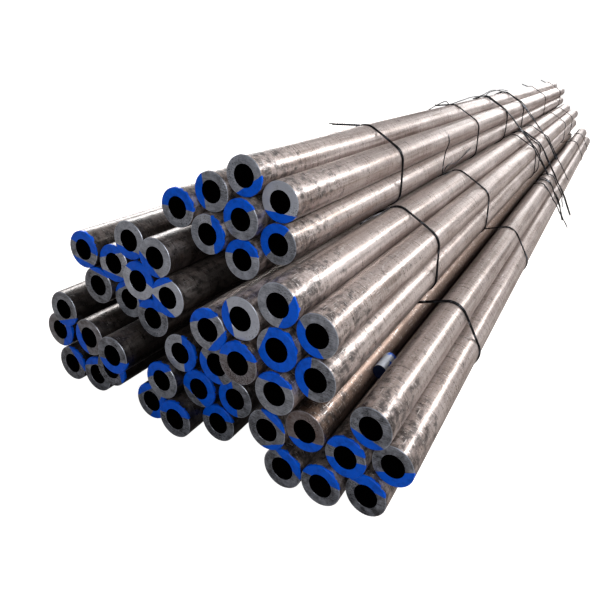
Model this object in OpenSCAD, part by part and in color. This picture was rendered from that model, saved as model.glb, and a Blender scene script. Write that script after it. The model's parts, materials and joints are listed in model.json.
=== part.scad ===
// Six wire-tied bundles of thick-walled steel pipe, heaped on a level floor.
// X runs across the pipe ends, Y along the pipes from the near ends to the far
// ones, Z up. The floor is z = 0 and the origin is under the middle of the heap.

/* [Pipe] */
// Outside diameter of each pipe, mm
pipe_od = 152; // [130:1:180]
// Wall thickness, mm
wall = 33.5; // [15:0.5:45]
// Length of each pipe, mm
pipe_length = 7500; // [5500:10:9000]
// Chamfer at the outer edge of the cut ends, mm
end_chamfer = 2; // [0.5:0.5:4]
// Chamfer at the edge of the bore, mm
bore_chamfer = 1; // [0.5:0.5:3]

/* [Ties] */
// Diameter of the annealed wire rod of the ties and slings, mm
wire_d = 6.5; // [4:0.25:6.5]
// Seating gap between touching pieces, mm
seat = 0.3; // [0.2:0.1:0.5]
// Length of a tie's twisted tail, mm
tail_length = 170; // [100:10:200]
// Spread between the two strands of a lifting sling, mm
sling_spread = 44; // [30:2:60]
// Free run of the loosest sling wire, which stands out furthest, mm
free_run = 380; // [300:10:380]

/* [Offcut] */
// Diameter of the short round bar left on the heap, mm
offcut_d = 58; // [40:1:64]
// Length of the short round bar, mm
offcut_length = 95; // [60:5:150]

/* [Layout] */
// How far the top bundle's near ends are set back, mm
top_set_back = 165; // [60:5:260]

/* [Hidden] */

$fn = 48;
joint = 1;

// Spacing of neighbouring pipes inside a bundle, and the height of a pipe's
// axis when it lies on the floor with the tie wire under it.
pitch = pipe_od + seat;
floor_axis = pipe_od / 2 + seat + wire_d;
pipe_r = pipe_od / 2;
bore_r = pipe_r - wall;
wire_r = wire_d / 2;
loop_r = pipe_r + seat + wire_r;

// Tilt of the rows of the two bundles on the right-hand slope, in degrees.
steep_tilt = 31;

// Each bundle is a hexagonal lattice: [x, z] of its first site in pitches from
// the corner pipe of the base bundle, and the tilt of its rows.
top_at = [[-5.647, 5.244], steep_tilt];
core_at = [[-3.782, 3.122], steep_tilt];
upper_at = [[-6.786, 4.286], -9];
mid_at = [[-5.212, 2 * sin(60)], 0];
low_at = [[-9.302, 2 * sin(60)], 0];
low_key_at = [[-8.698, 0.928], 0];
low_side_at = [[-7.881, 1.508], -6];
base_at = [[0, 2 * sin(60)], 0];
base_side_at = [[-2.396, 0.919], 18.3];

// The heap reaches from the tie round the pipe low_2 on the left to the tip of the
// loosest sling wire on the right, which leaves the pipe base_1 at this angle.
free_angle = 37;
heap_left = pitch * (low_at[0][0] - 0.5) - loop_r - (wire_r - 0.1);
heap_right = pitch * base_at[0][0] + (loop_r + wire_r) * cos(free_angle) + (free_run + joint) * sin(free_angle);
heap_mid = (heap_left + heap_right) / 2;

// Near faces of the bundles, measured back from the frontmost pipe.
core_y = 0;
upper_y = 80;
mid_y = 60;
low_y = 15;
base_y = 50;
heap_length = pipe_length + top_set_back + 70;

// Steps along a row, and along the rows that lean 60 degrees below it.
function step(a, i, j) = [i * cos(a) + j * cos(a - 60), i * sin(a) + j * sin(a - 60)];
function site(at, i, j) = pitch * (at[0] + step(at[1], i, j)) + [-heap_mid, floor_axis];

// A cut pipe with chamfered edges, along +Y from the given near face.
module tube() {
    rotate([-90, 0, 0]) rotate_extrude($fn = 96) polygon([
        [bore_r + bore_chamfer, 0],
        [pipe_r - end_chamfer, 0],
        [pipe_r, end_chamfer],
        [pipe_r, pipe_length - end_chamfer],
        [pipe_r - end_chamfer, pipe_length],
        [bore_r + bore_chamfer, pipe_length],
        [bore_r, pipe_length - bore_chamfer],
        [bore_r, bore_chamfer]
    ]);
}

module lay(at, i, j, front) {
    p = site(at, i, j);
    color([0.42, 0.39, 0.38]) translate([p[0], front - heap_length / 2, p[1]]) tube();
}

// Straight wire between two points, run a little way into the bends it meets.
module wire_rod(a, b, r = wire_r) {
    d = b - a;
    n = norm(d);
    translate(a) rotate([0, acos(d[2] / n), atan2(d[1], d[0])])
        translate([0, 0, -joint]) cylinder(h = n + 2 * joint, r = r, $fn = 16);
}

// Where the wire's centre is when it leaves pipe axis c at angle a, in XZ, and
// the way it then runs.
function rim(c, a, r = loop_r) = [c[0] + r * cos(a), 0, c[1] + r * sin(a)];
function onward(a) = [sin(a), 0, -cos(a)];
function out_angle(a, b) = atan2(b[1] - a[1], b[0] - a[0]) + 90;

// Wire bent over a pipe, clockwise as seen from the near ends.
module bend(c, from, to) {
    translate([c[0], 0, c[1]]) rotate([90, 0, 0]) rotate([0, 0, to])
        rotate_extrude(angle = (from - to + 720) % 360, $fn = 96)
            translate([loop_r, 0]) circle(r = wire_r - 0.1, $fn = 16);
}

// One closed turn of wire in the XZ plane, pulled tight round a bundle: a bend
// over each corner pipe and a straight run between neighbours. Corners are
// listed clockwise as seen from the near ends.
module turn(corners) {
    n = len(corners);
    for (k = [0 : n - 1]) {
        next = corners[(k + 1) % n];
        prev = corners[(k + n - 1) % n];
        a = out_angle(corners[k], next);
        bend(corners[k], out_angle(prev, corners[k]), a);
        wire_rod(rim(corners[k], a), rim(next, a));
    }
}

// One open strand: bent over the listed corners from angle a0 on the first to
// angle a1 on the last, then straight on for the length of its free run.
module strand(corners, a0, a1, run) {
    n = len(corners);
    for (k = [0 : n - 1]) {
        from = k == 0 ? a0 : out_angle(corners[k - 1], corners[k]);
        to = k == n - 1 ? a1 : out_angle(corners[k], corners[k + 1]);
        bend(corners[k], from, to);
        if (k < n - 1) wire_rod(rim(corners[k], to), rim(corners[k + 1], to));
    }
    wire_rod(rim(corners[n - 1], a1), rim(corners[n - 1], a1) + run * onward(a1));
}

// A sling: two strands side by side, joined at their free ends by a half turn.
module sling(corners, a0, a1, run, y) {
    tip = rim(corners[len(corners) - 1], a1) + run * onward(a1);
    translate([0, y - heap_length / 2, 0]) {
        for (side = [-1, 1])
            translate([0, side * sling_spread / 2, 0]) strand(corners, a0, a1, run);
        multmatrix([[0, sin(a1), -cos(a1), tip[0]],
                    [1, 0, 0, 0],
                    [0, -cos(a1), -sin(a1), tip[2]]])
            rotate_extrude(angle = 180, $fn = 48)
                translate([sling_spread / 2, 0]) circle(r = wire_r - 0.1, $fn = 16);
    }
}

// A single loose strand, and a single turn, at their place along the heap.
module loose(corners, a0, a1, run, y) {
    translate([0, y - heap_length / 2, 0]) strand(corners, a0, a1, run);
}
module hoop(corners, y) {
    translate([0, y - heap_length / 2, 0]) turn(corners);
}

// A tie: two turns side by side. Where a knot is given as [corner, angle], the
// ends are twisted together there into a tail that stands off the pipe.
module tie(corners, y, knot = []) {
    for (side = [-1, 1]) hoop(corners, y + side * (wire_d + seat) / 2);
    if (len(knot) > 0) {
        foot = rim(knot[0], knot[1], loop_r + wire_d * 0.3);
        lean = knot[1] + 68;
        translate([0, y - heap_length / 2, 0])
            wire_rod(foot, foot + tail_length * [cos(lean), 0, sin(lean)], wire_r * 1.6);
    }
}

// A point beside a pipe: at an angle round it, a distance behind the frontmost
// face, and lifted off it.
function beside(c, a, y, lift = 0) = rim(c, a, loop_r + lift) + [0, y - heap_length / 2, 0];

module wire_colour() {
    color([0.08, 0.08, 0.09]) children();
}

module ties(corners, ys, knot = []) {
    wire_colour() for (y = ys) tie(corners, y, knot);
}

function corner_list(at, list) = [for (s = list) site(at, s[0], s[1])];

// Top bundle, eight pipes.
module pipe_top_1() lay(top_at, 0, 0, top_set_back);
module pipe_top_2() lay(top_at, 1, 0, top_set_back + 30);
module pipe_top_3() lay(top_at, 2, 0, top_set_back + 45);
module pipe_top_4() lay(top_at, 0, 1, top_set_back + 5);
module pipe_top_5() lay(top_at, 1, 1, top_set_back + 25);
module pipe_top_6() lay(top_at, 2, 1, top_set_back + 70);
module pipe_top_7() lay(top_at, 0, 2, top_set_back + 30);
module pipe_top_8() lay(top_at, 1, 2, top_set_back + 60);
top_corners = corner_list(top_at, [[0, 0], [2, 0], [2, 1], [1, 2], [0, 2]]);
module ties_top() ties(top_corners, [1090, 2450, 5640, 7150], [top_corners[1], 118]);

// Core bundle, nine pipes.
module pipe_core_1() lay(core_at, 0, 0, core_y + 10);
module pipe_core_2() lay(core_at, 1, 0, core_y + 15);
module pipe_core_3() lay(core_at, 2, 0, core_y + 30);
module pipe_core_4() lay(core_at, -1, 1, core_y + 45);
module pipe_core_5() lay(core_at, 0, 1, core_y);
module pipe_core_6() lay(core_at, 1, 1, core_y + 25);
module pipe_core_7() lay(core_at, 2, 1, core_y + 50);
module pipe_core_8() lay(core_at, 0, 2, core_y + 15);
module pipe_core_9() lay(core_at, 1, 2, core_y + 45);
core_corners = corner_list(core_at, [[0, 0], [2, 0], [2, 1], [1, 2], [0, 2], [-1, 1]]);
core_ties = [925, 1810, 5800, 6650];

// The second tie's ends spring up out of the groove beside the top bundle, one
// from each of its turns, and an end of the first tie lies along the groove.
// Each leaves its turn a little short of the bend over the shoulder pipe.
function foot(c, y) = beside(c, steep_tilt + 90, y) - 30 * [cos(steep_tilt), 0, sin(steep_tilt)];
module ties_core() {
    shoulder = site(core_at, 2, 0);
    half = (wire_d + seat) / 2;
    ties(core_corners, core_ties);
    wire_colour() {
        wire_rod(foot(shoulder, core_ties[0] - half), beside(shoulder, 125, core_ties[0] - 285, 6), wire_r - 0.2);
        wire_rod(foot(shoulder, core_ties[1] - half),
                 beside(site(top_at, 2, 1), 31, core_ties[1] - 87, 27), wire_r - 0.2);
        wire_rod(foot(shoulder, core_ties[1] + half),
                 beside(site(top_at, 1, 2), 27, core_ties[1] + 438, 21), wire_r - 0.2);
    }
}

// Upper left bundle, nine pipes.
module pipe_upper_1() lay(upper_at, 0, 0, upper_y + 20);
module pipe_upper_2() lay(upper_at, 1, 0, upper_y);
module pipe_upper_3() lay(upper_at, -2, 1, upper_y + 15);
module pipe_upper_4() lay(upper_at, -1, 1, upper_y + 25);
module pipe_upper_5() lay(upper_at, 0, 1, upper_y + 5);
module pipe_upper_6() lay(upper_at, 1, 1, upper_y);
module pipe_upper_7() lay(upper_at, -2, 2, upper_y + 25);
module pipe_upper_8() lay(upper_at, -1, 2, upper_y + 40);
module pipe_upper_9() lay(upper_at, 0, 2, upper_y + 15);
module ties_upper() ties(corner_list(upper_at, [[-2, 1], [0, 0], [1, 0], [1, 1], [0, 2], [-2, 2]]), [1050, 2600, 5000, 6600]);

// Middle bundle, seven pipes.
module pipe_mid_1() lay(mid_at, 0, 0, mid_y + 35);
module pipe_mid_2() lay(mid_at, -1, 1, mid_y + 15);
module pipe_mid_3() lay(mid_at, 0, 1, mid_y + 45);
module pipe_mid_4() lay(mid_at, 1, 1, mid_y + 65);
module pipe_mid_5() lay(mid_at, -2, 2, mid_y + 30);
module pipe_mid_6() lay(mid_at, -1, 2, mid_y);
module pipe_mid_7() lay(mid_at, 0, 2, mid_y + 60);
module ties_mid() ties(corner_list(mid_at, [[0, 0], [1, 1], [0, 2], [-2, 2]]), [1250, 2900, 4700, 6400]);

// Lower left bundle, eight pipes; three of them sit off the lattice.
module pipe_low_1() lay(low_at, 0, 0, low_y + 70);
module pipe_low_2() lay(low_at, -1, 1, low_y + 95);
module pipe_low_3() lay(low_at, -1, 2, low_y + 85);
module pipe_low_4() lay(low_at, 0, 2, low_y + 85);
module pipe_low_5() lay(low_key_at, 0, 0, low_y + 105);
module pipe_low_6() lay(low_side_at, 0, 0, low_y + 20);
module pipe_low_7() lay(low_side_at, 1, 0, low_y);
module pipe_low_8() lay(low_side_at, 0, 1, low_y + 55);
module ties_low() ties(concat(corner_list(low_at, [[-1, 2], [-1, 1], [0, 0]]),
    corner_list(low_side_at, [[1, 0], [0, 1]]), corner_list(low_at, [[0, 2]])), [1150, 2750, 4850, 6500]);

// Base bundle at the right, eight pipes.
module pipe_base_1() lay(base_at, 0, 0, base_y + 45);
module pipe_base_2() lay(base_at, -1, 1, base_y + 30);
module pipe_base_3() lay(base_at, 0, 1, base_y + 70);
module pipe_base_4() lay(base_at, -3, 2, base_y + 10);
module pipe_base_5() lay(base_at, -2, 2, base_y + 10);
module pipe_base_6() lay(base_at, -1, 2, base_y + 45);
module pipe_base_7() lay(base_side_at, 0, 0, base_y);
module pipe_base_8() lay(base_side_at, 1, 0, base_y + 10);
module ties_base() ties(concat(corner_list(base_side_at, [[0, 0]]),
    corner_list(base_at, [[0, 0], [0, 1], [-1, 2], [-3, 2]])), [870, 2020, 6080, 6900]);

// Lifting slings left round the three right-hand bundles behind the middle.
// Each lies over its own bundle and hangs down over the pipes to its right.
top_right = [site(top_at, 0, 0), site(top_at, 2, 0), site(top_at, 2, 1), site(core_at, 2, 1)];
core_right = [site(core_at, 2, 0), site(core_at, 2, 1), site(base_at, 0, 0), site(base_at, 0, 1)];
base_right = [site(base_at, 0, 0), site(base_at, 0, 1)];
down_core = out_angle(site(core_at, 2, 1), site(base_at, 0, 0));

module slings_top() wire_colour() {
    sling(top_right, 190, down_core, 240, 3560);
    sling(top_right, 190, down_core, 205, 4230);
    hoop(top_corners, 3370);
    hoop(top_corners, 4120);
}

module slings_core() wire_colour() {
    sling(core_right, 135, 27, 225, 3880);
    loose([core_right[0], core_right[1], core_right[2]], 135, 30, 150, 4300);
    hoop(core_corners, 3480);
    hoop(core_corners, 3730);
}

module slings_base() wire_colour() {
    sling(base_right, 135, 20, 165, 3560);
    loose([base_right[0]], 135, free_angle, free_run, 3300);
    loose(base_right, 135, 12, 110, 3760);
}

// A short piece of round bar lying in the groove between two pipes.
module offcut() {
    a = site(base_side_at, 1, 0);
    b = site(base_at, -1, 1);
    reach = pipe_r + seat + offcut_d / 2;
    half = norm(b - a) / 2;
    lift = sqrt(reach * reach - half * half);
    along = (b - a) / (2 * half);
    p = (a + b) / 2 + lift * [-along[1], along[0]];
    color([0.62, 0.64, 0.68]) translate([p[0], 410 - heap_length / 2, p[1]]) rotate([-90, 0, 0])
        cylinder(h = offcut_length, d = offcut_d, $fn = 64);
}

pipe_top_1();
pipe_top_2();
pipe_top_3();
pipe_top_4();
pipe_top_5();
pipe_top_6();
pipe_top_7();
pipe_top_8();
pipe_core_1();
pipe_core_2();
pipe_core_3();
pipe_core_4();
pipe_core_5();
pipe_core_6();
pipe_core_7();
pipe_core_8();
pipe_core_9();
pipe_upper_1();
pipe_upper_2();
pipe_upper_3();
pipe_upper_4();
pipe_upper_5();
pipe_upper_6();
pipe_upper_7();
pipe_upper_8();
pipe_upper_9();
pipe_mid_1();
pipe_mid_2();
pipe_mid_3();
pipe_mid_4();
pipe_mid_5();
pipe_mid_6();
pipe_mid_7();
pipe_low_1();
pipe_low_2();
pipe_low_3();
pipe_low_4();
pipe_low_5();
pipe_low_6();
pipe_low_7();
pipe_low_8();
pipe_base_1();
pipe_base_2();
pipe_base_3();
pipe_base_4();
pipe_base_5();
pipe_base_6();
pipe_base_7();
pipe_base_8();
ties_top();
ties_core();
ties_upper();
ties_mid();
ties_low();
ties_base();
slings_top();
slings_core();
slings_base();
offcut();
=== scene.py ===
"""Looks for a heap of six wire-tied bundles of thick-walled steel pipe.

The CAD frame holds every pipe, tie, sling and the offcut in place. This script gives the
steel its mill scale, its sawn and half-painted ends, and replaces the plain CAD wires with
annealed wires that wander, cross and spring off the pipes as real ones do.
"""

import json
import logging
import math
from dataclasses import dataclass, field
from enum import Enum
from typing import Any

import bpy
import numpy as np
from mathutils import Matrix, Vector

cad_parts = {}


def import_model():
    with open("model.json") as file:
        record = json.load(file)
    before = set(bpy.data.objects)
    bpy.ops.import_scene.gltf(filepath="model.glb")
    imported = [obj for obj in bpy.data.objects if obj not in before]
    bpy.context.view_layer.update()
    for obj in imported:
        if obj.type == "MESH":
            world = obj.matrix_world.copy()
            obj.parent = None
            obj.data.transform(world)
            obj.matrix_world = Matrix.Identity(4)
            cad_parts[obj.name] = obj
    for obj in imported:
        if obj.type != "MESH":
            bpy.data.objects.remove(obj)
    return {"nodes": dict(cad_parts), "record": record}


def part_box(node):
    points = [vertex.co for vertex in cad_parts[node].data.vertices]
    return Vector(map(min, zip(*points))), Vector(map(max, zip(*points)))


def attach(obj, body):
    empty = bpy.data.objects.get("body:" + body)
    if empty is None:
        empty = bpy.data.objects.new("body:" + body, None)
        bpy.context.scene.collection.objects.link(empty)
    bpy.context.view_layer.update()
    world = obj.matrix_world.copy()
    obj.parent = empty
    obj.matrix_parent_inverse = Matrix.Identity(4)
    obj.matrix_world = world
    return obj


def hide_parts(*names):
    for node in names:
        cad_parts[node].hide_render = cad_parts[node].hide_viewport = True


LOG = logging.getLogger("pipe_heap")
MM = 0.001
TIE_WIRE = 6.5 * MM
# Drawn thicker than the 6.5 mm rod of the CAD, to read as dark as a bunch of doubled strands.
SLING_WIRE = 8.0 * MM

Array = np.ndarray
Node = bpy.types.Node


# ---------------------------------------------------------------- node help

def srgb(code: str) -> tuple[float, float, float, float]:
    """Turns an sRGB hex colour into the linear RGBA that shaders want.

    Args:
        code: colour such as "#8a7f7c".

    Returns:
        Linear red, green, blue and an alpha of 1.
    """
    part = np.array([int(code[i:i + 2], 16) for i in (1, 3, 5)]) / 255.0
    lin = np.where(part <= 0.04045, part / 12.92, ((part + 0.055) / 1.055) ** 2.4)
    return (*lin.tolist(), 1.0)


def add(tree: bpy.types.NodeTree, kind: str, sockets: dict | None = None, **settings: Any) -> Node:
    """Adds one node, with its settings and links.

    Args:
        tree: the node tree it goes into.
        kind: the node's type name without the leading "ShaderNode".
        sockets: for each input, by name or number, a value, a socket or a node to link from.
        **settings: attributes of the node itself.

    Returns:
        The new node.
    """
    made = tree.nodes.new("ShaderNode" + kind)
    for name, value in settings.items():
        setattr(made, name, value)
    for key, value in (sockets or {}).items():
        if isinstance(value, bpy.types.Node):
            value = value.outputs[0]
        if isinstance(value, bpy.types.NodeSocket):
            tree.links.new(value, made.inputs[key])
        else:
            made.inputs[key].default_value = value
    return made


def new_material(name: str) -> tuple[bpy.types.Material, bpy.types.NodeTree]:
    """Makes a material with an empty node tree."""
    mat = bpy.data.materials.new(name)
    mat.use_nodes = True
    tree = mat.node_tree
    tree.nodes.clear()
    return mat, tree


def wear(obj: bpy.types.Object, mat: bpy.types.Material) -> None:
    """Gives an object one material over its whole surface."""
    obj.data.materials.clear()
    obj.data.materials.append(mat)


# ------------------------------------------------------------------ pipes

@dataclass(frozen=True)
class PipeSize:
    """Where one pipe lies, read from its CAD node, in metres."""

    axis_x: float
    axis_z: float
    front: float
    length: float
    radius: float
    bore: float

    @staticmethod
    def of(node: str, bore: float) -> "PipeSize":
        """Reads a pipe's axis, near face and size from its CAD box."""
        low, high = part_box(node)
        return PipeSize((low.x + high.x) / 2, (low.z + high.z) / 2, low.y, high.y - low.y,
                        (high.x - low.x) / 2, bore)


@dataclass(frozen=True)
class Cut:
    """A painted segment of an end face: all beyond a straight edge.

    The edge is square to the direction `turn` (degrees, 0 to the right, 90 up) and lies
    `share` of the pipe's radius from the axis.
    """

    turn: float
    share: float


@dataclass(frozen=True)
class Look:
    """How one pipe differs from its neighbours.

    Attributes:
        bare: how bright the bare steel of the end is drawn, 0 to 1, with the light and shade on that end
            painted in.
        cuts: the painted segments of the end.
        rust: how brown the pipe is, 0 to 1.
    """

    bare: float
    cuts: tuple[Cut, ...]
    rust: float = 0.0


def look(bare: float, *cuts: tuple[float, float], rust: float = 0.0) -> Look:
    """Writes a Look on one line, its cuts as (turn, share) pairs."""
    return Look(bare, tuple(Cut(t, s) for t, s in cuts), rust)


# Painted shade: how far each bundle's scale is drawn towards black, a little less on the top side.
# The three on the left lie in deep shade and are drawn nearly black; how much darker scale lies
# under that painted shade can't be told.
SHADE: dict[str, float] = {"top": 0.06, "core": 0.06, "upper": 0.8, "mid": 0.92, "low": 0.93, "base": 0.2}

# The bare values hold each end's tone with the light and shade on it painted in.
LOOKS: dict[str, Look] = {
    "pipe_top_1": look(0.35, (90, 0.0)),
    "pipe_top_2": look(0.35, (187, 0.45)),
    "pipe_top_3": look(0.45, (307, 0.45)),
    "pipe_top_4": look(0.5, (7, 0.35)),
    "pipe_top_5": look(0.35, (120, 0.17)),
    "pipe_top_6": look(1.0, (270, 0.52)),
    "pipe_top_7": look(0.5, (95, 0.25)),
    "pipe_top_8": look(0.25, (142, 0.06)),
    "pipe_core_1": look(0.35, (116, 0.49), (322, 0.6)),
    "pipe_core_2": look(0.95, (195, 0.52)),
    "pipe_core_3": look(0.45, (337, 0.45)),
    "pipe_core_4": look(0.12, (225, 0.35)),
    "pipe_core_5": look(0.15, (95, 0.27), rust=0.6),
    "pipe_core_6": look(0.35, (337, -0.72)),
    "pipe_core_7": look(0.3, (221, 0.33)),
    "pipe_core_8": look(0.35, (90, 0.52)),
    "pipe_core_9": look(0.15, (177, 0.25)),
    "pipe_upper_1": look(0.5, (262, 0.47)),
    "pipe_upper_2": look(0.5, (229, 0.51)),
    "pipe_upper_3": look(0.25, (75, 0.15), (262, 0.6)),
    "pipe_upper_4": look(0.5, (112, 0.45), (266, 0.58)),
    "pipe_upper_5": look(0.75, (67, 0.26)),
    "pipe_upper_6": look(0.85, (120, 0.66), (240, 0.52)),
    "pipe_upper_7": look(0.12, (82, 0.72)),
    "pipe_upper_8": look(0.3, (125, 0.7), (10, 0.68)),
    "pipe_upper_9": look(0.2, (94, 0.45)),
    "pipe_mid_1": look(0.6, (5, 0.2)),
    "pipe_mid_2": look(0.35, (120, 0.35)),
    "pipe_mid_3": look(0.2, (60, -0.55)),
    "pipe_mid_4": look(0.15, (191, 0.0)),
    "pipe_mid_5": look(0.15, (127, 0.6), (330, 0.35)),
    "pipe_mid_6": look(0.12, (97, 0.26)),
    "pipe_mid_7": look(0.15, (97, 0.26)),
    "pipe_low_1": look(0.15, (292, 0.6)),
    "pipe_low_2": look(0.3, (345, 0.4), rust=0.5),
    "pipe_low_3": look(0.05, (45, 0.57)),
    "pipe_low_4": look(0.12, (112, 0.6)),
    "pipe_low_5": look(0.05),
    "pipe_low_6": look(0.2, (206, 0.49), rust=0.4),
    "pipe_low_7": look(0.12, (277, 0.26)),
    "pipe_low_8": look(0.08, (15, 0.57)),
    "pipe_base_1": look(0.15, (255, 0.52)),
    "pipe_base_2": look(0.2, (92, 0.35), (280, 0.12)),
    "pipe_base_3": look(0.12, (292, 0.26)),
    "pipe_base_4": look(0.1, (52, 0.45)),
    "pipe_base_5": look(0.15, (86, 0.31)),
    "pipe_base_6": look(0.05, (82, 0.45)),
    "pipe_base_7": look(0.15, (60, 0.66), (296, 0.73)),
    "pipe_base_8": look(0.2, (277, 0.45), rust=1.0),
}


@dataclass(frozen=True)
class RolledSteel:
    """Hot rolled carbon steel pipe with mill scale, its ends sawn and half painted.

    Mill scale is a thin grey-mauve oxide that the straightening rolls have rubbed smooth: half
    metal to the eye, with fine rings across it, long soft streaks, dark handling smudges and
    small bright scratches. Painted highlight dashes join the scratches, both strongest on the
    upper side, and painted shade darkens the underside and, by bundle, the whole side. The
    sawn ends are bluish bare steel with a blue marking enamel brushed up to a straight edge.
    The bores are dark oxide, drawn near black with the shade inside them painted in.
    """

    scale_light: str = "#cbc0bc"
    scale_dark: str = "#86776f"
    # Darker, browner underside: a browner tint with painted shade in it.
    underside_tint_and_shade: str = "#5e4038"
    crown: str = "#8f7d74"
    # Near black: the colour of the painted shade that each bundle's side is drawn towards.
    painted_shade_colour: str = "#14110f"
    scratch_and_painted_highlight: str = "#efe9e6"
    rust: str = "#6b5140"
    smudge: str = "#2b2829"
    sawn_light: str = "#b4bbc8"
    sawn_dark: str = "#0c0d11"
    enamel: str = "#0056d2"
    enamel_thin: str = "#003a94"
    # Near black: dark oxide with the shade inside the bore painted in.
    bore: str = "#030202"
    ring_mm: float = 7.0
    streak_mm: float = 16.0
    fleck_mm: float = 12.0
    rim_mm: float = 2.5
    saw_mark_mm: float = 2.5

    def dress(self, obj: bpy.types.Object, size: PipeSize, own: Look) -> None:
        """Builds the steel for one pipe and puts it on the pipe.

        Args:
            obj: the CAD pipe.
            size: where it lies.
            own: what is particular to this pipe.
        """
        mat, tree = new_material("rolled_steel_" + obj.name.removeprefix("pipe_"))
        place = add(tree, "TexCoord").outputs["Object"]
        local = add(tree, "Mapping", {"Vector": place, "Location": (-size.axis_x, -size.front, -size.axis_z)})
        xyz = add(tree, "SeparateXYZ", {0: local})
        ring_plane = add(tree, "VectorMath", {0: local, 1: (1, 0, 1)}, operation="MULTIPLY")
        radius = add(tree, "VectorMath", {0: ring_plane}, operation="LENGTH").outputs["Value"]
        back = xyz.outputs["Y"]

        painted_shade_depth = SHADE[obj.name.split("_")[1]]
        side, rough, height = self._scale(tree, place, xyz, size, own, painted_shade_depth)
        face = self._end_mask(tree, back, size)
        bare = self._sawn(tree, place, radius, size, own)
        paint = self._paint_mask(tree, place, local, back, size, own)
        enamel = self._enamel(tree, place)
        # The bore is drawn near black, the shade inside it painted in.
        hole = add(tree, "Math", {0: radius, 1: size.bore + 0.4 * MM}, operation="LESS_THAN")

        colour = add(tree, "Mix", {0: face, 6: side, 7: bare}, data_type="RGBA").outputs[2]
        colour = add(tree, "Mix", {0: paint, 6: colour, 7: enamel}, data_type="RGBA").outputs[2]
        colour = add(tree, "Mix", {0: hole, 6: colour, 7: srgb(self.bore)}, data_type="RGBA").outputs[2]
        gloss = add(tree, "Mix", {0: paint, 2: rough, 3: 0.36}).outputs[0]
        gloss = add(tree, "Mix", {0: hole, 2: gloss, 3: 0.85}).outputs[0]
        sheen = add(tree, "Mix", {0: paint, 2: 0.5, 3: 0.12}).outputs[0]
        sheen = add(tree, "Mix", {0: hole, 2: sheen, 3: 0.0}).outputs[0]
        covered = add(tree, "Math", {0: paint, 1: hole}, operation="MAXIMUM")
        metal = add(tree, "Mix", {0: covered, 2: 0.55, 3: 0.0}).outputs[0]
        bump = add(tree, "Bump", {"Strength": 0.5, "Distance": 0.9 * MM, "Height": height})
        shader = add(tree, "BsdfPrincipled", {"Base Color": colour, "Roughness": gloss, "Metallic": metal,
                                              "Specular IOR Level": sheen, "Normal": bump})
        add(tree, "OutputMaterial", {0: shader})
        wear(obj, mat)

    def _scale(self, tree: bpy.types.NodeTree, place: Any, xyz: Node, size: PipeSize,
               own: Look, painted_shade_depth: float) -> tuple[Any, Any, Any]:
        """Mill scale of the side: its colour, with painted shade and painted highlights in it, its roughness
        and height.

        Rings are noise squeezed along the pipe, streaks are noise drawn out along it.
        """
        def squeezed(across_mm: float, along_mm: float, detail: float, shift: float = 0.0) -> Any:
            scaled = add(tree, "Mapping", {"Vector": place, "Location": (shift, shift, shift),
                                           "Scale": (1 / (across_mm * MM), 1 / (along_mm * MM),
                                                     1 / (across_mm * MM))})
            return add(tree, "TexNoise", {"Vector": scaled, "Scale": 1.0, "Detail": detail,
                                          "Roughness": 0.6}).outputs[0]

        rings = squeezed(160, self.ring_mm, 3)
        streaks = squeezed(self.streak_mm, 900, 4)
        clouds = squeezed(90, 300, 5, 3.1)
        grit = squeezed(5, 9, 2, 1.7)
        flecks = squeezed(self.fleck_mm * 2.2, self.fleck_mm * 2.6, 5, 7.7)
        bars = squeezed(self.fleck_mm * 3.0, self.fleck_mm * 0.45, 2, 2.9)
        marks = squeezed(self.fleck_mm * 0.4, 70, 2, 5.3)
        glints = squeezed(self.fleck_mm * 1.6, 5, 3, 9.1)

        tone = add(tree, "Math", {0: rings, 1: 0.7, 2: -0.35}, operation="MULTIPLY_ADD")
        for part, weight in ((streaks, 1.3), (clouds, 1.1), (grit, 0.3)):
            tone = add(tree, "Math", {0: part, 1: weight, 2: tone}, operation="MULTIPLY_ADD")
        tone = add(tree, "MapRange", {0: tone, 1: 1.02, 2: 1.72, 3: 0.0, 4: 1.0})
        colour = add(tree, "Mix", {0: tone, 6: srgb(self.scale_dark), 7: srgb(self.scale_light)},
                     data_type="RGBA").outputs[2]
        level = add(tree, "Math", {0: clouds, 1: 0.9 * size.radius, 2: xyz.outputs["Z"]},
                    operation="MULTIPLY_ADD")
        # Darker and browner towards the underside: a browner tint with painted shade in it.
        low = add(tree, "MapRange", {0: level, 1: 0.75 * size.radius, 2: -0.45 * size.radius, 3: 0.0, 4: 0.9})
        colour = add(tree, "Mix", {0: low, 6: colour, 7: srgb(self.underside_tint_and_shade)}, data_type="RGBA").outputs[2]
        crown = add(tree, "MapRange", {0: level, 1: 1.15 * size.radius, 2: 1.5 * size.radius,
                                   3: 0.0, 4: 0.45})
        colour = add(tree, "Mix", {0: crown, 6: colour, 7: srgb(self.crown)}, data_type="RGBA").outputs[2]
        brown = add(tree, "Math", {0: clouds, 1: 0.4 * own.rust, 2: 0.6 * own.rust}, operation="MULTIPLY_ADD")
        colour = add(tree, "Mix", {0: brown, 6: colour, 7: srgb(self.rust)}, data_type="RGBA").outputs[2]
        dirt = add(tree, "MapRange", {0: flecks, 1: 0.61, 2: 0.72, 3: 0.0, 4: 0.5})
        cross = add(tree, "MapRange", {0: bars, 1: 0.66, 2: 0.74, 3: 0.0, 4: 0.6})
        mouth = add(tree, "MapRange", {0: xyz.outputs["Y"], 1: 0.40, 2: 0.0, 3: 0.0, 4: 0.18})
        near = add(tree, "Math", {0: flecks, 1: mouth}, operation="ADD")
        near = add(tree, "MapRange", {0: near, 1: 0.58, 2: 0.76, 3: 0.0, 4: 0.8})
        for other in (cross, near):
            dirt = add(tree, "Math", {0: dirt, 1: other}, operation="MAXIMUM")
        colour = add(tree, "Mix", {0: dirt, 6: colour, 7: srgb(self.smudge)}, data_type="RGBA").outputs[2]
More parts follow.
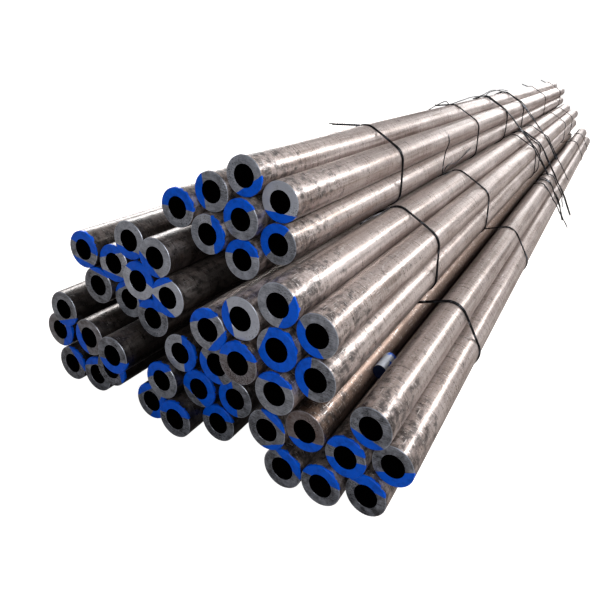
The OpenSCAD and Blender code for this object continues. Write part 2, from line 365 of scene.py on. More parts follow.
        # Small bright scratches and painted highlight dashes, both weighted towards the lit upper side.
        bright = add(tree, "MapRange", {0: marks, 1: 0.66, 2: 0.72, 3: 0.0, 4: 0.75})
        glint = add(tree, "MapRange", {0: glints, 1: 0.61, 2: 0.68, 3: 0.0, 4: 0.7})
        bright = add(tree, "Math", {0: bright, 1: glint}, operation="MAXIMUM")
        lit = add(tree, "MapRange", {0: xyz.outputs["Z"], 1: -0.2 * size.radius, 2: 0.7 * size.radius,
                                     3: 0.15, 4: 1.0})
        bright = add(tree, "Math", {0: bright, 1: lit}, operation="MULTIPLY")
        colour = add(tree, "Mix", {0: bright, 6: colour, 7: srgb(self.scratch_and_painted_highlight)},
                     data_type="RGBA").outputs[2]
        # Painted shade: the side is drawn towards near black by its bundle's SHADE, a little less on the top
        # side.
        shade = add(tree, "Math", {0: clouds, 1: -0.5 * painted_shade_depth, 2: 1.22 * painted_shade_depth}, operation="MULTIPLY_ADD")
        top_side = add(tree, "MapRange", {0: xyz.outputs["Z"], 1: 0.55 * size.radius, 2: size.radius,
                                          3: 1.0, 4: 0.8})
        shade = add(tree, "Math", {0: shade, 1: top_side}, operation="MULTIPLY", use_clamp=True)
        colour = add(tree, "Mix", {0: shade, 6: colour, 7: srgb(self.painted_shade_colour)},
                     data_type="RGBA").outputs[2]
        fine = add(tree, "Math", {0: grit, 1: 0.5}, operation="MULTIPLY")
        gloss = add(tree, "Math", {0: rings, 1: 0.5, 2: fine},
                    operation="MULTIPLY_ADD")
        rough = add(tree, "MapRange", {0: gloss, 1: 0.38, 2: 0.62, 3: 0.26, 4: 0.42}).outputs[0]
        height = add(tree, "Math", {0: grit, 1: 0.5, 2: rings}, operation="MULTIPLY_ADD").outputs[0]
        return colour, rough, height

    def _end_mask(self, tree: bpy.types.NodeTree, back: Any, size: PipeSize) -> Any:
        """1 on the two sawn faces and their chamfers, 0 on the side."""
        near = add(tree, "Math", {0: back, 1: self.rim_mm * MM * 0.6}, operation="LESS_THAN")
        far = add(tree, "Math", {0: back, 1: size.length - self.rim_mm * MM * 0.6}, operation="GREATER_THAN")
        return add(tree, "Math", {0: near, 1: far}, operation="MAXIMUM").outputs[0]

    def _sawn(self, tree: bpy.types.NodeTree, place: Any, radius: Any, size: PipeSize, own: Look) -> Any:
        """Bare sawn steel: dark to bright by the pipe's bare value, its end's light and shade painted in,
        with saw marks and a rim drawn brighter.
        """
        lines = add(tree, "Mapping", {"Vector": place, "Rotation": (0, math.radians(31 * own.bare * 9), 0),
                                      "Scale": (1 / (40 * MM), 1.0, 1 / (self.saw_mark_mm * MM))})
        marks = add(tree, "TexNoise", {"Vector": lines, "Scale": 1.0, "Detail": 3, "Roughness": 0.7})
        patch = add(tree, "TexNoise", {"Vector": place, "Scale": 34.0, "Detail": 6, "Roughness": 0.75})
        # The end's tone follows its bare value, in which the light and shade on that end are painted.
        tone = add(tree, "Math", {0: marks.outputs[0], 1: 0.9, 2: 0.85 * own.bare - 1.03},
                   operation="MULTIPLY_ADD")
        tone = add(tree, "Math", {0: patch.outputs[0], 1: 1.6, 2: tone}, operation="MULTIPLY_ADD")
        rim = add(tree, "MapRange", {0: radius, 1: size.radius - 2 * self.rim_mm * MM,
                                     2: size.radius - 0.5 * self.rim_mm * MM, 3: 0.0, 4: 0.35})
        tone = add(tree, "Math", {0: tone, 1: rim}, operation="ADD", use_clamp=True)
        colour = add(tree, "Mix", {0: tone, 6: srgb(self.sawn_dark), 7: srgb(self.sawn_light)},
                     data_type="RGBA").outputs[2]
        return add(tree, "Mix", {0: 0.5 * own.rust, 6: colour, 7: srgb(self.rust)},
                   data_type="RGBA").outputs[2]

    def _paint_mask(self, tree: bpy.types.NodeTree, place: Any, local: Any, back: Any, size: PipeSize,
                    own: Look) -> Any:
        """1 where the marking enamel covers the near end and laps a little round its edge."""
        wobble = add(tree, "TexNoise", {"Vector": place, "Scale": 45.0, "Detail": 3, "Roughness": 0.6})
        wander = add(tree, "Math", {0: wobble.outputs[0], 1: 6 * MM, 2: -3 * MM}, operation="MULTIPLY_ADD")
        masks = []
        for cut in own.cuts:
            turn = math.radians(cut.turn)
            reach = add(tree, "VectorMath", {0: local, 1: (math.cos(turn), 0, math.sin(turn))},
                        operation="DOT_PRODUCT").outputs["Value"]
            reach = add(tree, "Math", {0: reach, 1: wander}, operation="ADD")
            masks.append(add(tree, "MapRange", {0: reach, 1: cut.share * size.radius - 0.6 * MM,
                                                2: cut.share * size.radius + 0.6 * MM, 3: 0.0, 4: 1.0}))
        if not masks:
            return add(tree, "Math", {0: 0.0, 1: 0.0}, operation="ADD").outputs[0]
        total = masks[0]
        for extra in masks[1:]:
            total = add(tree, "Math", {0: total, 1: extra}, operation="MAXIMUM")
        lap = add(tree, "MapRange", {0: wobble.outputs[0], 1: 0.35, 2: 0.75, 3: 2.5 * MM, 4: 14 * MM})
        front = add(tree, "Math", {0: back, 1: lap}, operation="LESS_THAN")
        return add(tree, "Math", {0: total, 1: front}, operation="MULTIPLY").outputs[0]

    def _enamel(self, tree: bpy.types.NodeTree, place: Any) -> Any:
        """Brushed blue enamel, thinner and darker in patches."""
        patch = add(tree, "TexNoise", {"Vector": place, "Scale": 38.0, "Detail": 4, "Roughness": 0.65})
        thin = add(tree, "MapRange", {0: patch.outputs[0], 1: 0.45, 2: 0.75, 3: 0.0, 4: 0.75})
        return add(tree, "Mix", {0: thin, 6: srgb(self.enamel), 7: srgb(self.enamel_thin)},
                   data_type="RGBA").outputs[2]


@dataclass(frozen=True)
class AnnealedWire:
    """Black annealed tie wire: soft drawn steel with a thin dark oxide.

    The oxide is nearly black and rubs bright where the wire has been pulled tight; the grey
    patches are that wear and painted glints together, so it shows as a dark line with grey glints.
    """

    oxide: str = "#121317"
    rubbed_and_painted_glint: str = "#7d8189"
    roughness: float = 0.36

    def material(self) -> bpy.types.Material:
        """Builds the wire's material on object coordinates."""
        mat, tree = new_material("annealed_wire")
        place = add(tree, "TexCoord").outputs["Object"]
        worn = add(tree, "TexNoise", {"Vector": place, "Scale": 22.0, "Detail": 4, "Roughness": 0.6})
        # Grey patches: rubbed wear with painted glints.
        mask = add(tree, "MapRange", {0: worn.outputs[0], 1: 0.56, 2: 0.68, 3: 0.0, 4: 0.8})
        colour = add(tree, "Mix", {0: mask, 6: srgb(self.oxide), 7: srgb(self.rubbed_and_painted_glint)},
                     data_type="RGBA").outputs[2]
        shader = add(tree, "BsdfPrincipled", {"Base Color": colour, "Metallic": 0.75,
                                              "Roughness": self.roughness})
        add(tree, "OutputMaterial", {0: shader})
        return mat


@dataclass(frozen=True)
class TurnedBar:
    """Bright turned round bar, its end and patches of its side in blue enamel over a dark edge."""

    # Near white: bright turned steel, lifted with painted light against the shade the bar lies in.
    bright: str = "#e6eaf2"
    tool_mark: str = "#a9b0bb"
    enamel: str = "#0a55c8"
    dark: str = "#0c1a3a"

    def dress(self, obj: bpy.types.Object, node: str) -> None:
        """Builds the finish for the offcut and puts it on it."""
        low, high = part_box(node)
        mat, tree = new_material("turned_bright_bar")
        place = add(tree, "TexCoord").outputs["Object"]
        local = add(tree, "Mapping", {"Vector": place, "Location": (-(low.x + high.x) / 2, -low.y,
                                                                    -(low.z + high.z) / 2)})
        back = add(tree, "SeparateXYZ", {0: local}).outputs["Y"]
        marks = add(tree, "Mapping", {"Vector": place, "Scale": (1 / (60 * MM), 1 / (3 * MM), 1 / (60 * MM))})
        turned = add(tree, "TexNoise", {"Vector": marks, "Scale": 1.0, "Detail": 3})
        patch = add(tree, "TexNoise", {"Vector": place, "Scale": 24.0, "Detail": 3})
        mask = add(tree, "MapRange", {0: patch.outputs[0], 1: 0.5, 2: 0.56, 3: 0.0, 4: 0.95})
        face = add(tree, "Math", {0: back, 1: 0.6 * MM}, operation="LESS_THAN")
        bright = add(tree, "Mix", {0: turned.outputs[0], 6: srgb(self.tool_mark), 7: srgb(self.bright)},
                     data_type="RGBA").outputs[2]
        colour = add(tree, "Mix", {0: mask, 6: bright, 7: srgb(self.enamel)}, data_type="RGBA").outputs[2]
        colour = add(tree, "Mix", {0: face, 6: colour, 7: srgb(self.dark)}, data_type="RGBA").outputs[2]
        metal = add(tree, "MapRange", {0: mask, 1: 0.0, 2: 1.0, 3: 0.35, 4: 0.0})
        shader = add(tree, "BsdfPrincipled", {"Base Color": colour, "Metallic": metal, "Roughness": 0.32})
        add(tree, "OutputMaterial", {0: shader})
        wear(obj, mat)


# ------------------------------------------------------------------- wires

@dataclass(frozen=True)
class Line:
    """A wire's centre line: its points, and at each the way that faces out from the pipes."""

    points: Array
    outward: Array

    def then(self, other: "Line") -> "Line":
        """This line followed by another."""
        return Line(np.vstack((self.points, other.points)), np.vstack((self.outward, other.outward)))

    def reverse(self) -> "Line":
        """The same line run the other way."""
        return Line(self.points[::-1], self.outward[::-1])

    def even(self, step: float) -> "Line":
        """The same line with its points spread evenly.

        Each coordinate is read off at equal steps of the length run so far.
        """
        gaps = np.linalg.norm(np.diff(self.points, axis=0), axis=1)
        run = np.concatenate(([0.0], np.cumsum(gaps)))
        at = np.linspace(0.0, run[-1], max(int(run[-1] / step), 8))
        spread = [np.column_stack([np.interp(at, run, part[:, k]) for k in range(3)])
                  for part in (self.points, self.outward)]
        return Line(spread[0], spread[1])


class Lay(Enum):
    """How a wire lies on the pipes: the lift in metres that its spring gives it."""

    TIGHT = 0.0
    SPRUNG = 0.010


def ripple(count: int, waves: float, seed: int) -> Array:
    """A smooth wander from -1 to 1 over `count` points.

    It is the mean of three sines whose waves are in the ratio 1, 2.3 and 3.9, with phases
    drawn from the seed.
    """
    phase = np.random.default_rng(seed).uniform(0, 2 * np.pi, 3)
    at = np.linspace(0, 2 * np.pi * waves, count)
    return (np.sin(at + phase[0]) + 0.6 * np.sin(2.3 * at + phase[1])
            + 0.4 * np.sin(3.9 * at + phase[2])) / 2.0


def unit(rows: Array) -> Array:
    """Each row at length 1."""
    return rows / np.maximum(np.linalg.norm(rows, axis=1, keepdims=True), 1e-12)


def smooth(knots: Array, count: int) -> Array:
    """A Catmull-Rom curve through the knots, as `count` points.

    Between knots b and c, with neighbours a and d and t from 0 to 1, the point is half of
    2b + (c-a)t + (2a-5b+4c-d)tt + (3b-a-3c+d)ttt.
    """
    padded = np.vstack((2 * knots[0] - knots[1], knots, 2 * knots[-1] - knots[-2]))
    at = np.linspace(0, len(knots) - 1 - 1e-9, count)
    k = at.astype(int)
    t = (at - k)[:, None]
    a, b, c, d = (padded[k + n] for n in range(4))
    return 0.5 * (2 * b + (c - a) * t + (2 * a - 5 * b + 4 * c - d) * t ** 2
                  + (3 * b - a - 3 * c + d) * t ** 3)


def tube_mesh(name: str, lines: list[Line], radius: float, sides: int = 8) -> bpy.types.Object:
    """Sweeps a round wire along each line and makes one object of them.

    A ring's point is the line's point plus the radius times (cos a) n + (sin a) b, where b
    is the tangent crossed with the outward way and n is b crossed with the tangent.

    Args:
        name: the object's name.
        lines: centre lines.
        radius: half the wire's thickness, in metres.
        sides: faces round the wire.

    Returns:
        The new object, at the origin.
    """
    turn = np.linspace(0, 2 * np.pi, sides, endpoint=False)
    verts, faces, start = [], [], 0
    for line in lines:
        tangent = unit(np.gradient(line.points, axis=0))
        side = unit(np.cross(tangent, line.outward))
        normal = np.cross(side, tangent)
        ring = np.cos(turn)[None, :, None] * normal[:, None] + np.sin(turn)[None, :, None] * side[:, None]
        verts.append((line.points[:, None] + radius * ring).reshape(-1, 3))
        rows, count = np.arange(len(line.points) - 1)[:, None] * sides, len(line.points)
        here, following = np.arange(sides)[None], (np.arange(sides)[None] + 1) % sides
        quads = np.stack((rows + here, rows + following, rows + sides + following,
                          rows + sides + here), axis=-1)
        faces += (start + quads.reshape(-1, 4)[:, ::-1]).tolist()
        faces.append((start + np.arange(sides)).tolist())
        faces.append((start + (count - 1) * sides + np.arange(sides))[::-1].tolist())
        start += count * sides
    mesh = bpy.data.meshes.new(name)
    mesh.from_pydata(np.vstack(verts).tolist(), [], faces)
    mesh.polygons.foreach_set("use_smooth", np.ones(len(mesh.polygons), bool))
    mesh.update()
    made = bpy.data.objects.new(name, mesh)
    bpy.context.scene.collection.objects.link(made)
    return made


@dataclass
class WireWork:
    """All the wire of the heap: ties, lifting slings, knots and sprung ends.

    Attributes:
        finish: the wire's material.
        wire: diameter of the wire, in metres.
        seat: gap between wire and pipe.
        step: spacing of points along a wire.
        pipe_radius: outer radius of the pipes.
        front: how far forward the frontmost pipe reaches.
    """

    finish: bpy.types.Material
    wire: float
    seat: float = 0.3 * MM
    step: float = 11 * MM
    pipe_radius: float = 0.0
    front: float = 0.0
    seed: int = 5
    made: list[bpy.types.Object] = field(default_factory=list)

    def centre(self, pipe: str) -> Array:
        """The axis of a pipe in the plane across the heap."""
        low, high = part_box("pipe_" + pipe)
        return np.array([(low.x + high.x) / 2, (low.z + high.z) / 2])

    def bend(self, pipe: str, start: float, stop: float) -> tuple[Array, Array]:
        """Wire over one pipe: points on a circle from angle `start` down to `stop`, in degrees."""
        angle = np.radians(np.linspace(start, stop, max(int(abs(start - stop) / 6), 2)))
        way = np.column_stack((np.cos(angle), np.sin(angle)))
        return self.centre(pipe) + (self.pipe_radius + self.seat + self.wire / 2) * way, way

    def leaving(self, a: str, b: str) -> float:
        """The outward angle of the straight run from pipe a to pipe b, in degrees."""
        run = self.centre(b) - self.centre(a)
        return math.degrees(math.atan2(run[1], run[0])) + 90

    def over(self, pipes: tuple[str, ...], start: float, stop: float, run: float) -> Line:
        """An open wire over the pipes in turn, then straight on for `run` metres.

        Each bend goes from the outward angle of the run before to that of the run after.
        """
        turns = [start, *(self.leaving(a, b) for a, b in zip(pipes, pipes[1:])), stop]
        parts = [self.bend(p, turns[k], turns[k + 1]) for k, p in enumerate(pipes)]
        flat, way = np.vstack([p[0] for p in parts]), np.vstack([p[1] for p in parts])
        if run:
            ahead = np.array([math.sin(math.radians(stop)), -math.cos(math.radians(stop))])
            flat, way = np.vstack((flat, flat[-1] + run * ahead)), np.vstack((way, way[-1]))
        zero = np.zeros(len(flat))
        return Line(np.column_stack((flat[:, 0], zero, flat[:, 1])),
                    np.column_stack((way[:, 0], zero, way[:, 1])))

    def around(self, pipes: tuple[str, ...]) -> Line:
        """A closed wire round the corner pipes, starting and ending on the first."""
        turns = [self.leaving(a, b) for a, b in zip(pipes, (*pipes[1:], pipes[0]))]
        parts, last = [], turns[-1]
        for pipe, this in zip(pipes, turns):
            parts.append(self.bend(pipe, this + (last - this) % 360, this))
            last = this
        flat, way = np.vstack([p[0] for p in parts]), np.vstack([p[1] for p in parts])
        flat, way = np.vstack((flat, flat[:1])), np.vstack((way, way[:1]))
        zero = np.zeros(len(flat))
        return Line(np.column_stack((flat[:, 0], zero, flat[:, 1])),
                    np.column_stack((way[:, 0], zero, way[:, 1])))

    def placed(self, line: Line, back: Array | float, lay: Lay) -> Line:
        """Puts a line at its distance behind the front, with the lift that its spring gives.

        The lift is the lay's height times half of one plus a wander, and it dies away
        within 120 mm of the floor.
        """
        line = line.even(self.step)
        self.seed += 1
        lift = lay.value * (0.55 + 0.45 * ripple(len(line.points), 2.0, self.seed))
        lift = lift * np.clip(line.points[:, 2] / 0.12 - 0.5, 0, 1)
        points = line.points + line.outward * lift[:, None]
        where = np.interp(np.linspace(0, 1, len(points)),
                          np.linspace(0, 1, np.size(back)), np.atleast_1d(back))
        points[:, 1] = self.front + where
        return Line(points, line.outward)

    def tie(self, pipes: tuple[str, ...], back: float) -> list[Line]:
        """Two turns side by side that part a little and wander together along the pipes."""
        base = self.around(pipes).even(self.step)
        count, seed = len(base.points), self.seed
        close = np.sin(np.linspace(0, np.pi, count)) ** 0.5
        drift = 7 * MM * ripple(count, 1.5, seed + 100) * close
        part = self.wire * 0.53 + 4.5 * MM * (0.5 + 0.5 * ripple(count, 3.0, seed + 200)) * close
        return [self.placed(base, back + drift + side * part, Lay.TIGHT) for side in (-1, 1)]

    def hoop(self, pipes: tuple[str, ...], back: float, sway: float = 0.012) -> Line:
        """One looser turn that wanders along the pipes."""
        base = self.around(pipes).even(self.step)
        close = np.sin(np.linspace(0, np.pi, len(base.points))) ** 0.5
        return self.placed(base, back + sway * ripple(len(base.points), 1.6, self.seed + 300) * close,
                           Lay.SPRUNG)

    def loose(self, pipes: tuple[str, ...], start: float, stop: float, run: float, back: float,
              slant: float = 0.0, sway: float = 0.01) -> Line:
        """One open strand, slanting along the pipes by `slant` from start to end."""
        base = self.over(pipes, start, stop, run).even(self.step)
        at = np.linspace(-0.5, 0.5, len(base.points))
        return self.placed(base, back + slant * at + sway * ripple(len(at), 1.3, self.seed + 400), Lay.SPRUNG)

    def sling(self, pipes: tuple[str, ...], start: float, stop: float, run: float, back: float,
              spread: float, slant: float = 0.0) -> Line:
        """A long eye of wire: out along one strand, round its tip and back along the other.

        The tip is a half circle in the plane of the last run, and the strands' wander dies
        away towards it.
        """
        base = self.over(pipes, start, stop, run).even(self.step)
        count = len(base.points)
        at = np.linspace(0, 1, count)
        fade = np.minimum(1.0, 3.0 * (1 - at))
        sides = []
        for side in (-1, 1):
            wander = 9 * MM * ripple(count, 1.4, self.seed + 500) * fade
            gape = side * spread / 2 * (1 - 0.9 * np.sin(np.pi * at) ** 2 * fade * (side > 0))
            sides.append(self.placed(base, back + slant * (at - 1) + gape + wander, Lay.SPRUNG))
        out, home = sides
        tip, ahead = (out.points[-1] + home.points[-1]) / 2, unit(out.points[-1:] - out.points[-3:-2])[0]
        arc = np.linspace(0, np.pi, 12)[1:-1, None]
        half = (out.points[-1] - home.points[-1]) / 2
        bow = tip + np.cos(arc) * half + np.sin(arc) * ahead * np.linalg.norm(half)
        bight = Line(bow, np.repeat(out.outward[-1:], len(bow), axis=0))
        return out.then(bight).then(home.reverse())

    def beside(self, pipe: str, angle: float, back: float, lift: float = 0.0) -> Array:
        """A point off a pipe's surface, as the wires' listed points are given."""
        way = np.array([math.cos(math.radians(angle)), math.sin(math.radians(angle))])
        flat = self.centre(pipe) + (self.pipe_radius + self.seat + self.wire / 2 + lift) * way
        return np.array([flat[0], self.front + back, flat[1]])

    def strung(self, knots: list[Array], out: tuple[float, float, float]) -> Line:
        """A smooth wire through given points, with one outward way for its whole length."""
        reach = np.linalg.norm(np.diff(np.array(knots), axis=0), axis=1).sum()
        points = smooth(np.array(knots), max(int(reach / self.step), 12))
        return Line(points, np.repeat(np.array([out], float), len(points), axis=0))

    def pigtail(self, foot: Array, tip: Array, turns: float) -> list[Line]:
        """Two ends twisted together from foot to tip, then splayed.

        Each is a helix one wire radius from the axis; its radius grows to four times that
        over the last quarter.
        """
        along = tip - foot
        length = np.linalg.norm(along)
        along = along / length
        n = unit(np.cross(along, [0.0, 1.0, 0.0])[None])[0]
        b = np.cross(along, n)
        at = np.linspace(0, 1, 60)
        reach = self.wire * (0.5 + 2.2 * np.clip(at * 4 - 3, 0, 1))
        lines = []
        for phase in (0.0, np.pi):
            angle = 2 * np.pi * turns * np.minimum(at, 0.8) + phase
            way = np.cos(angle)[:, None] * n + np.sin(angle)[:, None] * b
            lines.append(Line(foot + length * at[:, None] * along + reach[:, None] * way, way))
        return lines

    def install(self, node: str, lines: list[Line]) -> None:
        """Makes a CAD wire node's shown wires, and has them ride and stand for it."""
        obj = tube_mesh(node + "_wire", lines, self.wire / 2)
        wear(obj, self.finish)
        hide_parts(node)
        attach(obj, "root")
        self.made.append(obj)
        LOG.info("laid %s as %d wires", node, len(lines))


TOP = ("top_1", "top_3", "top_6", "top_8", "top_7")
CORE = ("core_1", "core_3", "core_7", "core_9", "core_8", "core_4")
UPPER = ("upper_3", "upper_1", "upper_2", "upper_6", "upper_9", "upper_7")
MID = ("mid_1", "mid_4", "mid_7", "mid_5")
LOW = ("low_3", "low_2", "low_1", "low_7", "low_8", "low_4")
BASE = ("base_7", "base_1", "base_3", "base_6", "base_4")
TIES: dict[str, tuple[tuple[str, ...], tuple[float, ...]]] = {
    "ties_top": (TOP, (1.09, 2.45, 5.64, 7.15)),
    "ties_core": (CORE, (0.925, 1.81, 5.8, 6.65)),
    "ties_upper": (UPPER, (1.05, 2.6, 5.0, 6.6)),
    "ties_mid": (MID, (1.25, 2.9, 4.7, 6.4)),
    "ties_low": (LOW, (1.15, 2.75, 4.85, 6.5)),
    "ties_base": (BASE, (0.87, 2.02, 6.08, 6.9)),
}
Z_OUT = (0.0, 0.0, 1.0)
X_OUT = (1.0, 0.0, 0.0)


@dataclass
class Ties(WireWork):
    """The ties of the six bundles, with their knots and sprung ends."""

    def build(self) -> None:
        """Lays every bundle's ties and installs them."""
        for node, (corners, backs) in TIES.items():
            lines = [line for back in backs for line in self.tie(corners, back)]
            if node == "ties_top":
                lines += self.top_knots(backs)
            if node == "ties_core":
                lines += self.core_ends(backs)
            self.install(node, lines)

    def top_knots(self, backs: tuple[float, ...]) -> list[Line]:
        """Twisted tails on the ridge, leaning to the left, and a bow of spare wire at the second."""
        lines = []
        for back, lean, length in zip(backs, (186, 190, 165, 160), (0.165, 0.10, 0.08, 0.08)):
            foot = self.beside("top_3", 118, back, 0.002)
            way = np.array([math.cos(math.radians(lean)), 0.0, math.sin(math.radians(lean))])
            lines += self.pigtail(foot, foot + length * way, 6)
        second = backs[1]
        lines.append(self.strung([self.beside("top_3", 112, second),
                                  self.beside("top_3", 118, second - 0.05, 0.03),
                                  self.beside("top_2", 98, second - 0.08, 0.035),
                                  self.beside("top_2", 112, second - 0.02, 0.03),
                                  self.beside("top_2", 96, second + 0.03, 0.012),
                                  self.beside("top_3", 118, second + 0.06, 0.004)], Z_OUT))
        return lines

    def core_ends(self, backs: tuple[float, ...]) -> list[Line]:
        """The second tie's two ends, sprung up beside the top bundle, and the first one's, in the groove."""
        first, second = backs[:2]
        root = self.beside("core_3", 122, second - 0.15, 0.011)
        start = self.beside("core_3", 121, second)
        rising = [start, root, self.beside("top_8", 46, second - 0.12, 0.051),
                  self.beside("top_6", 5, second - 0.115, 0.03),
                  self.beside("top_6", 31, second - 0.087, 0.027)]
        along = [root, self.beside("top_8", 10, second - 0.06, 0.018),
                 self.beside("top_8", 0, second + 0.1, 0.016),
                 self.beside("top_8", 7, second + 0.25, 0.009),
                 self.beside("top_8", 27, second + 0.438, 0.021)]
        groove = [self.beside("core_3", 125, first), self.beside("core_3", 121, first - 0.1, 0.001),
                  self.beside("core_3", 127, first - 0.2, 0.006),
                  self.beside("core_3", 125, first - 0.285, 0.006)]
        return [self.strung(rising, X_OUT), self.strung(along, X_OUT), self.strung(groove, Z_OUT)]


@dataclass
class Slings(WireWork):
    """The lifting slings left round the three right-hand bundles.

    Attributes:
        spread: gap between the two strands of a sling's eye.
    """

    spread: float = 0.044

    def doubled(self, line: Line) -> list[Line]:
        """A wire laid double: two alike, touching side by side."""
        shift = np.array([0.0, self.wire * 0.5, 0.0])
        return [Line(line.points - shift, line.outward), Line(line.points + shift, line.outward)]

    def build(self) -> None:
        """Lays the three bundles' slings and installs them."""
        down = self.leaving("core_7", "base_1")
        over_top = ("top_1", "top_3", "top_6", "core_7")
        over_core = ("core_3", "core_7", "base_1", "base_3")
        over_base = ("base_1", "base_3")
        top = [self.sling(over_top, 190, down, 0.24, 3.56, self.spread, slant=0.30),
               self.sling(over_top, 190, down, 0.205, 4.23, self.spread, slant=0.12)]
        hoops = [self.hoop(TOP, 3.37, 0.03), self.hoop(TOP, 4.12, 0.03)]
        bows = [self.strung([self.beside("top_3", 104, 2.47), self.beside("top_3", 100, 2.75, 0.012),
                             self.beside("top_3", 108, 3.05, 0.018),
                             self.beside("top_3", 96, 3.36, 0.006)], Z_OUT),
                self.strung([self.beside("top_3", 100, 3.02, 0.004), self.beside("top_3", 92, 3.3, 0.022),
                             self.beside("top_3", 100, 3.7, 0.042),
                             self.beside("top_3", 92, 4.12, 0.006)], Z_OUT),
                self.strung([self.beside("top_3", 90, 3.35, 0.006), self.beside("top_3", 100, 3.6, 0.03),
                             self.beside("top_3", 88, 3.95, 0.034),
                             self.beside("top_3", 96, 4.3, 0.006)], Z_OUT)]
        self.install("slings_top", [w for line in top + hoops + bows for w in self.doubled(line)])
        core = [self.sling(over_core, 135, 27, 0.225, 3.88, self.spread, slant=0.10),
                self.loose(over_core[:3], 135, 30, 0.15, 4.30, slant=0.12),
                self.hoop(CORE, 3.48, 0.03), self.hoop(CORE, 3.73, 0.04)]
        self.install("slings_core", [w for line in core for w in self.doubled(line)])
        base = [self.sling(over_base, 135, 20, 0.165, 3.56, self.spread, slant=0.06),
                self.loose(("base_1",), 135, 37, 0.37, 3.30, slant=-0.08),
                self.loose(over_base, 135, 12, 0.11, 3.76, slant=0.05)]
        self.install("slings_base", [w for line in base for w in self.doubled(line)])


# ------------------------------------------------------------------- stage

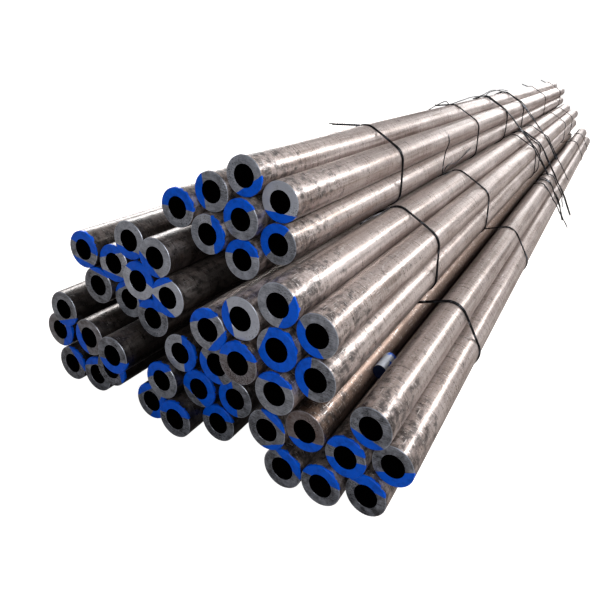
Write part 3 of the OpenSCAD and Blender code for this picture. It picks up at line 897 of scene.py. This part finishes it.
@dataclass
class Studio:
    """Pale floor, soft overhead light and the camera."""

    floor_size: float = 120.0
    eye_from_corner_pipe: tuple[float, float] = (0.4733, -1.248)
    eye_height: float = 1.5251
    pan: float = 21.588
    dip: float = 14.781
    roll: float = 5.122
    focal_px: float = 508.07
    centre_px: tuple[float, float] = (412.62, 177.69)
    frame_px: float = 600.0

    def build(self) -> None:
        """Sets up floor, lights and camera."""
        self._floor()
        self._lights()
        self._camera()

    def _floor(self) -> None:
        """A flat pale plane under the heap."""
        half = self.floor_size / 2
        mesh = bpy.data.meshes.new("floor")
        mesh.from_pydata([(-half, -half, 0), (half, -half, 0), (half, half, 0), (-half, half, 0)], [],
                         [(0, 1, 2, 3)])
        floor = bpy.data.objects.new("floor", mesh)
        bpy.context.scene.collection.objects.link(floor)
        mat, tree = new_material("matt_white_floor")
        seen = add(tree, "LightPath").outputs["Is Camera Ray"]
        matt = add(tree, "BsdfDiffuse", {"Color": srgb("#9a938e")})
        glow = add(tree, "Emission", {"Color": (1, 1, 1, 1), "Strength": 1.0})
        pale = add(tree, "AddShader", {0: matt, 1: glow})
        both = add(tree, "MixShader", {0: seen, 1: matt, 2: pale})
        add(tree, "OutputMaterial", {0: both})
        wear(floor, mat)

    def _lights(self) -> None:
        """A bright surround with soft boxes above, to the right and in front."""
        world = bpy.data.worlds.new("studio")
        bpy.context.scene.world = world
        world.use_nodes = True
        tree = world.node_tree
        tree.nodes.clear()
        seen = add(tree, "LightPath").outputs["Is Camera Ray"]
        soft = add(tree, "Background", {"Color": srgb("#f4f5ff"), "Strength": 0.16})
        white = add(tree, "Background", {"Color": (1, 1, 1, 1), "Strength": 1.15})
        both = add(tree, "MixShader", {0: seen, 1: soft, 2: white})
        add(tree, "OutputWorld", {0: both})
        self._soft_box("key_right", (4.6, 0.6, 4.6), (0.2, 0.6, 0.5), (11.0, 0.7), 800)
        self._soft_box("overhead", (0.4, 1.5, 5.5), (0.2, 1.5, 0.4), (1.6, 9.0), 95)
        self._soft_box("left_fill", (-5.5, 1.0, 3.2), (-0.2, 0.6, 0.5), (9.0, 2.0), 700)
        self._soft_box("rear_fill", (0.0, 8.5, 3.0), (0.0, 3.6, 0.5), (4.0, 2.5), 150)
        self._soft_box("front_fill", (1.6, -8.0, 2.6), (0.0, -3.6, 0.5), (3.0, 2.0), 95)

    def _soft_box(self, name: str, place: tuple, aim: tuple, size: tuple, watts: float) -> None:
        """One rectangular area light at `place`, facing `aim`."""
        data = bpy.data.lights.new(name, "AREA")
        data.shape = "RECTANGLE"
        data.size, data.size_y = size
        data.energy = watts
        lamp = bpy.data.objects.new(name, data)
        lamp.location = place
        lamp.rotation_euler = (Vector(aim) - Vector(place)).to_track_quat("-Z", "Y").to_euler()
        bpy.context.scene.collection.objects.link(lamp)

    def _camera(self) -> None:
        """Camera from its place, pan, dip and roll; the lens shift takes up the off-centre crop.

        The rows right, down and forward come from turning about Z by the pan, dipping, then
        rolling about the line of sight.
        """
        def turn(angle: float, axis: str) -> Matrix:
            return Matrix.Rotation(math.radians(angle), 3, axis)

        swap = Matrix(((1, 0, 0), (0, 0, -1), (0, 1, 0)))
        rows = turn(self.roll, "Z") @ turn(self.dip, "X") @ swap @ turn(self.pan, "Z").transposed()
        right, down, forward = (Vector(rows[i]) for i in range(3))
        data = bpy.data.cameras.new("camera")
        data.sensor_width = 36.0
        data.lens = self.focal_px / self.frame_px * 36.0
        data.shift_x = (self.frame_px / 2 - self.centre_px[0]) / self.frame_px
        data.shift_y = (self.centre_px[1] - self.frame_px / 2) / self.frame_px
        data.clip_end = 500.0
        eye = bpy.data.objects.new("camera", data)
        basis = Matrix((right, -down, -forward)).transposed().to_4x4()
        low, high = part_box("pipe_base_3")
        place = ((low.x + high.x) / 2 + self.eye_from_corner_pipe[0], low.y + self.eye_from_corner_pipe[1],
                 self.eye_height)
        eye.matrix_world = Matrix.Translation(place) @ basis
        bpy.context.scene.collection.objects.link(eye)
        bpy.context.scene.camera = eye


# -------------------------------------------------------------------- main


def main(frame: dict) -> None:
    """Dresses every CAD node, adds the wires and sets the stage."""
    logging.basicConfig(level=logging.INFO, format="%(name)s: %(message)s")
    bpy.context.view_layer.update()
    bore = frame["record"]["mounts"][0]["dims"]["r_mm"] * MM
    steel, wire = RolledSteel(), AnnealedWire().material()
    for name, obj in frame["nodes"].items():
        if name in LOOKS:
            steel.dress(obj, PipeSize.of(name, bore), LOOKS[name])
        elif name == "offcut":
            TurnedBar().dress(obj, name)
        else:
            wear(obj, wire)
        LOG.info("dressed %s", name)
    sizes = [PipeSize.of(name, bore) for name in LOOKS]
    shared = {"finish": wire, "wire": TIE_WIRE, "pipe_radius": sizes[0].radius,
              "front": min(size.front for size in sizes)}
    Ties(**shared, seed=5).build()
    Slings(**shared | {"wire": SLING_WIRE}, seed=40).build()
    Studio().build()
    bpy.context.scene.view_settings.view_transform = "Standard"


if __name__ == "__main__":
    main(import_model())
